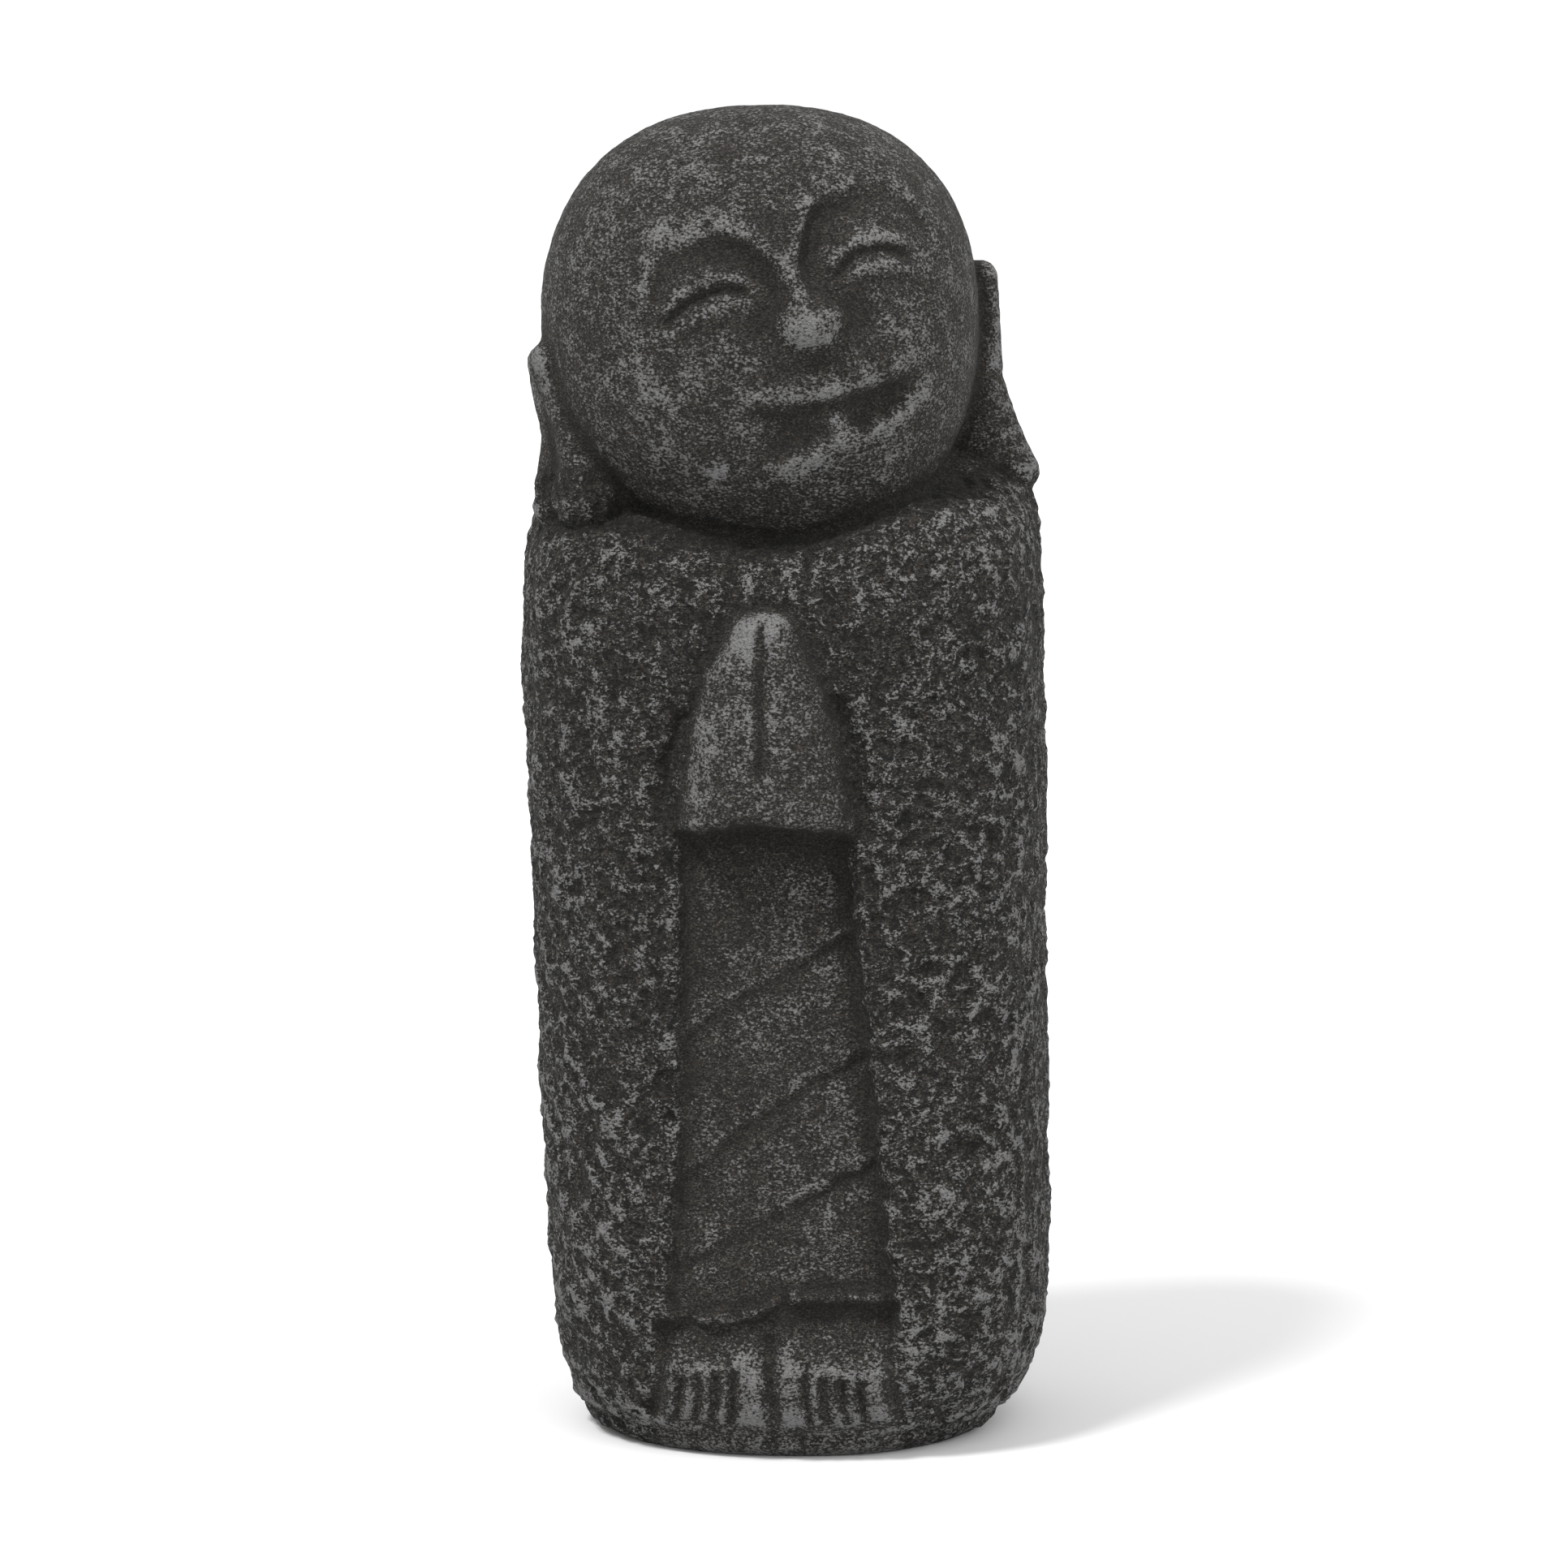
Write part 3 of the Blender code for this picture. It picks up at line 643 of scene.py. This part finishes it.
def more_brush_and_light(z, sideways, head, hands_part, panel, feet, robe):
    """How much more grey each point gets, from each part, its height and how far it faces
    sideways: partly the brush, partly painted light and shade.
    """
    # painted light: surfaces facing sideways get more grey, standing in for the brighter grazing
    # light on the flanks
    more = 0.08 * smooth(0.4, 1.0, abs(sideways)) * (1 - head)
    more += 0.15 * hands_part * smooth(298, 312, z)
    more -= 0.15 * hands_part * smooth(CUFF_BOTTOM + 12, CUFF_BOTTOM + 4, z)
    # painted light and shade: the hands' side towards the key light gets more grey, and the side
    # away from it less
    more += 0.13 * hands_part * smooth(-0.15, -0.6, sideways)
    more -= 0.17 * hands_part * smooth(0.3, 0.8, sideways)
    # the feet, the lower robe and everything below about 25 units up get more grey: partly the
    # brush, partly painted light standing in for light from the floor below
    more += 0.04 * head * smooth(450, 430, z) - 0.03 * hands_part - 0.03 * panel + 0.18 * feet
    more += robe * (0.04 + 0.03 * smooth(170, 130, z) - 0.05 * smooth(290, 320, z))
    return more + 0.10 * smooth(25, 12, z) - 0.25 * smooth(BASE_BAND, 3, z)


def less_brush_and_shade(points, head, hands_part, panel):
    """How much less grey it gets: less brush beside the panel and above the hem, and painted shade
    as well as less brush under the cuffs and the head.
    """
    x, y, z = points.T
    first, second = panel_edges(z)
    rim = smooth(7, 3, np.minimum(abs(x - first + 3), abs(x - second - 3)))
    rim *= smooth(-40, -60, y) * smooth(HEM[0] - 5, HEM[0], z)
    rim *= smooth(CUFF_BOTTOM + 6, CUFF_BOTTOM, z)
    rim = np.maximum(rim, panel * smooth(8, 3, z - hem_line(x)))
    # painted shade as well as less brush: the panel's top under the overhanging cuffs is left dark
    shade_and_bare_under_cuffs = panel * smooth(CUFF_BOTTOM - 22, CUFF_BOTTOM - 8, z)
    # painted shade as well as less brush: the chest and shoulders under the head are left dark
    shade_and_bare_under_head = smooth(1.39, 1.22, head_reach(points - HEAD_CENTRE))
    shade_and_bare_under_head *= (1 - head) * (1 - hands_part)
    return 0.18 * rim + 0.42 * shade_and_bare_under_head + 0.22 * shade_and_bare_under_cuffs


def mark_wear_and_light(piece):
    """Store on each point how well a dry brush would catch it, plus painted light and shade, and
    how lumpy the stone is.
    """
    points, normals = read_points(piece.data), read_normals(piece.data)
    near, middling, wide = standing_out(piece.data, points)
    parts = regions(points)
    head, hands_part, panel = parts[:3]
    for part in parts:
        wide = wide - part * np.average(wide, weights=part)
    wear_and_light = USUAL_WEAR + 0.10 * np.tanh(near / 0.12) + 0.14 * np.tanh(middling / 0.4)
    wear_and_light += 0.16 * (1 - 0.6 * panel) * np.tanh(wide / 1.8)
    wear_and_light += 0.10 * grainy(points, 18, place=(7, 7, 7))
    wear_and_light += more_brush_and_light(points[:, 2], normals[:, 0], *parts)
    wear_and_light -= less_brush_and_shade(points, head, hands_part, panel)
    # the stored wear also carries painted light on the flanks, the hands' lit side and low down,
    # and painted shade under the head and the cuffs
    add_attribute(piece.data, 'wear_and_light', wear_and_light)
    add_attribute(piece.data, 'lumpy', sum(share * part for share, part in zip(LUMPY, parts)))


# ---- Building ----------------------------------------------------------------------------------

def thin(piece):
    """Keep faces where the form bends, and few where it is plain."""
    piece.data.calc_loop_triangles()
    fewer = piece.modifiers.new('thin', 'DECIMATE')
    fewer.ratio = TRIANGLES / len(piece.data.loop_triangles)
    apply_modifiers(piece)


def build_statue():
    """Fuse the rough forms, sink the panel, carve, roughen the skin, thin it and mark its wear and
    its painted light and shade.
    """
    block = ball_mesh('block', 256, 256, block_shape)
    head = ball_mesh('head', 192, 128, head_shape)
    statue = fuse('jizo_stone', [block, head] + neck() + nose() + ears() + hands())
    points = read_points(statue.data)
    write_points(statue.data, sink_panel(points, grainy(points, 7)))
    remesh(statue)
    points = read_points(statue.data)
    waver = grainy(points, 7)
    points = carve_base(carve_front(carve_face(points, waver), waver))
    write_points(statue.data, points)
    remesh(statue)
    points = read_points(statue.data)
    normals = read_normals(statue.data)
    points += normals * rough_skin(points, normals)[:, None]
    points[:, 2] = np.clip(points[:, 2], 0, None)       # the underside stays flat on the ground
    write_points(statue.data, points)
    thin(statue)
    mark_wear_and_light(statue)
    statue.data.shade_smooth()
    return statue


# ---- Materials ---------------------------------------------------------------------------------

class Nodes:
    """Short ways to make and join a material's nodes."""

    def __init__(self, name):
        self.material = bpy.data.materials.new(name)
        self.material.use_nodes = True
        self.tree = self.material.node_tree
        self.shader = self.tree.nodes['Principled BSDF']

    def put(self, socket, value):
        """Give an input its value, or join it to another node's output."""
        if isinstance(value, bpy.types.NodeSocket):
            self.tree.links.new(value, socket)
        else:
            socket.default_value = value

    def place(self, stretch):
        """Places on the object, drawn out by stretch."""
        mapping = self.tree.nodes.new('ShaderNodeMapping')
        places = self.tree.nodes.new('ShaderNodeTexCoord')
        self.put(mapping.inputs['Vector'], places.outputs['Object'])
        mapping.inputs['Scale'].default_value = [1 / part for part in stretch]
        return mapping.outputs['Vector']

    def noise(self, size, detail=2.0, stretch=(1, 1, 1), roughness=0.5):
        """Noise with blotches size metres across."""
        texture = self.tree.nodes.new('ShaderNodeTexNoise')
        self.put(texture.inputs['Vector'], self.place(stretch))
        texture.inputs['Scale'].default_value = 1 / size
        texture.inputs['Detail'].default_value = detail
        texture.inputs['Roughness'].default_value = roughness
        return texture.outputs['Fac']

    def grains(self, size, stretch=(1, 1, 1)):
        """Grains size metres across: how high each is domed, and a number of its own."""
        texture = self.tree.nodes.new('ShaderNodeTexVoronoi')
        self.put(texture.inputs['Vector'], self.place(stretch))
        texture.inputs['Scale'].default_value = 1 / size
        dome = self.math('SUBTRACT', 1.0, self.math('POWER', texture.outputs['Distance'], 2.0))
        return dome, texture.outputs['Color']

    def math(self, operation, *values):
        """The result of one sum on numbers or other nodes' outputs."""
        node = self.tree.nodes.new('ShaderNodeMath')
        node.operation = operation
        for socket, value in zip(node.inputs, values):
            self.put(socket, value)
        return node.outputs[0]

    def weigh(self, *terms):
        """The sum of (value, weight) terms."""
        total = 0.0
        for value, weight in terms:
            total = self.math('MULTIPLY_ADD', value, weight, total)
        return total

    def ramp(self, value, low, high, start=0.0, end=1.0):
        """start where value is at low, end where it is at high, and an even slope between."""
        node = self.tree.nodes.new('ShaderNodeMapRange')
        node.interpolation_type = 'SMOOTHSTEP'
        for name, part in (('Value', value), ('From Min', low), ('From Max', high),
                           ('To Min', start), ('To Max', end)):
            self.put(node.inputs[name], part)
        return node.outputs['Result']

    def mix(self, share, first, second):
        """The first colour, with a share of the second."""
        node = self.tree.nodes.new('ShaderNodeMix')
        node.data_type = 'RGBA'
        self.put(node.inputs['Factor'], share)
        self.put(node.inputs['A'], first)
        self.put(node.inputs['B'], second)
        return node.outputs['Result']

    def attribute(self, name):
        """What add_attribute stored under this name."""
        node = self.tree.nodes.new('ShaderNodeAttribute')
        node.attribute_name = name
        return node.outputs['Fac']

    def bump(self, height, distance, below=None):
        """Normals of a relief that is distance metres high, on top of the relief below."""
        node = self.tree.nodes.new('ShaderNodeBump')
        node.inputs['Distance'].default_value = distance
        self.put(node.inputs['Height'], height)
        if below:
            self.put(node.inputs['Normal'], below)
        return node.outputs['Normal']


DARK_STONE = (0.0040, 0.0034, 0.0028, 1.0)
BROWN_STONE = (0.0270, 0.0210, 0.0155, 1.0)
GREY_STONE = (0.0480, 0.0450, 0.0392, 1.0)
WORN_GREY = (0.0760, 0.0742, 0.0720, 1.0)
BRUSHED_GREY = (0.1430, 0.1405, 0.1390, 1.0)
PAINT_STARTS = (1.26, 1.32)     # levels between which the brushed grey sets in
PAINT_THICKENS = (1.32, 1.51)   # levels between which it turns from worn to full

SAND = 0.0009                   # size of the sand in the casting, in metres
DUST = 0.6 * SAND
PITS = 0.0019
STAINS = 0.003
LUMPS = 0.0042
PATCHES = 0.010                 # size of the patches in which the brush caught more or less
LUMP_HEIGHT = 0.004             # heights of the fine relief, in metres
SAND_HEIGHT = 0.0009
GRIT_HEIGHT = 0.0015


def brush_level(stone, wear_and_light, sunk, dome, own, grit, lumps, pits):
    """How well the brush catches each grain, from the wear and painted light and shade marked on
    the mesh and the grain.
    """
    tops = stone.ramp(wear_and_light, 0.66, 0.95)
    patches = stone.noise(PATCHES, 3.0, roughness=0.6)
    return stone.weigh((wear_and_light, 0.36), (tops, 0.16), (sunk, -0.15), (patches, 0.46), (own, 0.22),
                       (dome, 0.25), (grit, 1.0), (lumps, 0.42), (pits, -0.09))


def bare_stone(stone, sunk, dome, own, pits):
    """Dusty and rusty grains on dark stone, which is bare in its pores, creases and pits, and
    darker in its hollows: partly dirt, partly painted shade.
    """
    dust = stone.noise(DUST, 2.0, stretch=(1.6, 1.6, 1.0), roughness=0.7)
    stains = stone.noise(STAINS, 4.0, stretch=(1.5, 1.5, 1.0), roughness=0.75)
    pores = stone.ramp(dome, 0.80, 0.55, 0.0, 0.75)
    stained = stone.ramp(stains, 0.40, 0.60, 0.0, 0.8)
    rust = stone.math('MULTIPLY', stone.ramp(own, 0.45, 0.75), stained)
    colour = stone.mix(stone.ramp(dust, 0.43, 0.60), DARK_STONE, GREY_STONE)
    colour = stone.mix(pores, colour, DARK_STONE)
    colour = stone.mix(rust, colour, BROWN_STONE)
    # painted shade and dirt: darker where the marked value is low, in creases and hollows and
    # under the head and the cuffs
    colour = stone.mix(stone.math('MULTIPLY', sunk, 0.45), colour, DARK_STONE)
    return stone.mix(pits, colour, DARK_STONE)


def lava_stone():
    """Dark sandy stone, with a light grey that a dry brush left on what stands out, and painted
    light and shade carried in the marked wear.
    """
    stone = Nodes('lava_stone')
    wear_and_light, lumpy = stone.attribute('wear_and_light'), stone.attribute('lumpy')
    # low marked values: the hollows, and the painted shade under the head and the cuffs
    sunk = stone.ramp(wear_and_light, 0.32, 0.14)
    dome, own = stone.grains(SAND, stretch=(1.35, 1.35, 1.0))
    grit = stone.noise(SAND, 3.0, stretch=(1.4, 1.4, 1.0), roughness=0.7)
    pits = stone.noise(PITS, 2.0, stretch=(1.3, 1.3, 1.0), roughness=0.6)
    pits = stone.math('MULTIPLY', stone.ramp(pits, 0.48, 0.40), lumpy)
    lumps = stone.noise(LUMPS, 3.0, stretch=(1.5, 1.5, 0.9), roughness=0.6)
    lumps = stone.math('MULTIPLY', stone.math('SUBTRACT', lumps, 0.5), lumpy)

    level = brush_level(stone, wear_and_light, sunk, dome, own, grit, lumps, pits)
    thick = stone.ramp(stone.weigh((lumpy, 0.08), (level, 1.0)), *PAINT_THICKENS)
    paint = stone.mix(thick, WORN_GREY, BRUSHED_GREY)
    ground = bare_stone(stone, sunk, dome, own, pits)
    colour = stone.mix(stone.ramp(level, *PAINT_STARTS), ground, paint)
    stone.put(stone.shader.inputs['Base Color'], colour)
    stone.put(stone.shader.inputs['Roughness'], stone.ramp(grit, 0.3, 0.7, 0.98, 0.86))
    stone.shader.inputs['Specular IOR Level'].default_value = 0.3

    relief = stone.bump(lumps, LUMP_HEIGHT)
    relief = stone.bump(stone.math('SUBTRACT', dome, pits), SAND_HEIGHT, below=relief)
    stone.put(stone.shader.inputs['Normal'], stone.bump(grit, GRIT_HEIGHT, below=relief))
    return stone.material


FLOOR_GREY = (0.61, 0.61, 0.61, 1.0)


def pale_floor():
    """Plain matt grey, which the light turns nearly white."""
    floor = Nodes('pale_floor')
    floor.shader.inputs['Base Color'].default_value = FLOOR_GREY
    floor.shader.inputs['Roughness'].default_value = 0.9
    return floor.material


# ---- The studio --------------------------------------------------------------------------------

FLOOR_REACH = 12.0              # from the floor's middle to each side, in metres
SKY_STRENGTH = 1.04
SUNS = (                        # name, strength, width in degrees, and where it shines from
    ('key', 3.3, 12, (-0.56, -0.74, 1.42)),
    ('soft', 2.1, 70, (1.0, -0.95, 0.9)),
)

CAMERA_AZIMUTH = 6.0            # degrees round from straight in front, towards the figure's left
CAMERA_ELEVATION = 7.1
CAMERA_DISTANCE = 2.05          # metres
CAMERA_LENS = 124.15            # millimetres
CAMERA_SENSOR = 36              # millimetres
CAMERA_TARGET = 245             # height it looks at, in carver's units


def aim(thing, place, target):
    """Put a light or camera at a place, and turn it to the target."""
    thing.location = place
    thing.rotation_euler = (Vector(place) - Vector(target)).to_track_quat('Z', 'Y').to_euler()


def make_floor(low):
    """A wide plane at the height low, as stage and no part of the statue."""
    mesh = bpy.data.meshes.new('floor')
    plane = bmesh.new()
    bmesh.ops.create_grid(plane, x_segments=1, y_segments=1, size=FLOOR_REACH)
    plane.to_mesh(mesh)
    plane.free()
    floor = bpy.data.objects.new('floor', mesh)
    bpy.context.scene.collection.objects.link(floor)
    floor.location = (0, 0, low)
    mesh.materials.append(pale_floor())


def make_studio():
    """A white sky, a key light from the upper left and a wide, soft fill from the right."""
    world = bpy.data.worlds.new('studio')
    bpy.context.scene.world = world
    world.use_nodes = True
    sky = world.node_tree.nodes['Background']
    sky.inputs['Color'].default_value = (1.0, 1.0, 1.0, 1.0)
    sky.inputs['Strength'].default_value = SKY_STRENGTH
    bpy.context.scene.view_settings.view_transform = 'Standard'
    for name, strength, width, place in SUNS:
        sun = bpy.data.lights.new(name, 'SUN')
        sun.energy = strength
        sun.angle = np.radians(width)
        light = bpy.data.objects.new(name, sun)
        bpy.context.scene.collection.objects.link(light)
        aim(light, place, (0, 0, 0))


def make_camera():
    """A long lens at the photograph's angle, aimed at the middle of the figure."""
    data = bpy.data.cameras.new('camera')
    data.sensor_width = CAMERA_SENSOR
    data.lens = CAMERA_LENS
    camera = bpy.data.objects.new('camera', data)
    bpy.context.scene.collection.objects.link(camera)
    bpy.context.scene.camera = camera
    azimuth, elevation = np.radians(CAMERA_AZIMUTH), np.radians(CAMERA_ELEVATION)
    back = Vector((np.sin(azimuth) * np.cos(elevation), -np.cos(azimuth) * np.cos(elevation),
                   np.sin(elevation)))
    target = Vector((0, 0, CAMERA_TARGET * UNIT))
    aim(camera, target + back * CAMERA_DISTANCE, target)


# ---- Putting it together -----------------------------------------------------------------------

statue = build_statue()
statue.data.materials.clear()
statue.data.materials.append(lava_stone())
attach(statue, "root")
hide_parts(NODE)

make_floor(cad_box[0].z)
make_studio()
make_camera()
